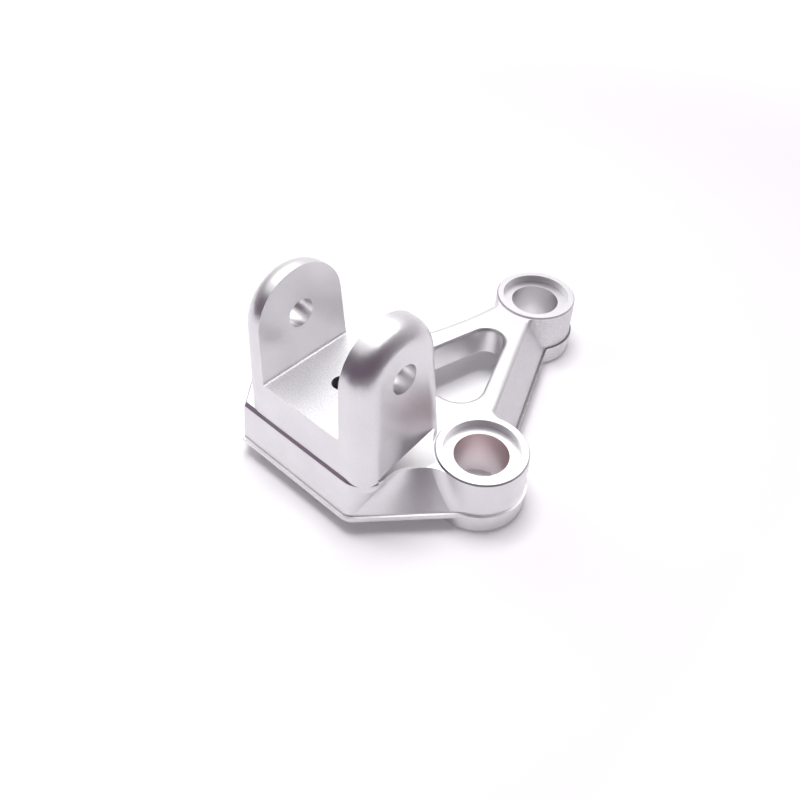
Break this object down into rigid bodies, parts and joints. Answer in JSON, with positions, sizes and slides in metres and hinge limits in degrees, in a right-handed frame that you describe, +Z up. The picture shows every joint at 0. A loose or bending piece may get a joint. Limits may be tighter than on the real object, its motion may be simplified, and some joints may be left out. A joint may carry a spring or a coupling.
{
  "type": "foot pedal bracket",
  "caption": "Cast mounting bracket for a foot pedal: an upright clevis for the pivot pin on a triangular base with bored bolt bosses.",
  "frame": {"origin": "on the plane of the three mounting feet, straight under the middle of the pin axis", "axes": "+X along the pin, towards the near boss's side; +Y from the pin to the far boss, the base's long direction; +Z up out of the feet"},
  "size_m": [0.0815, 0.1151, 0.0624],
  "materials": {
    "casting": "satin, as cast and tumbled"
  },
  "bodies": {
    "root": {"bracket_body": "casting"}
  },
  "joints": []
}
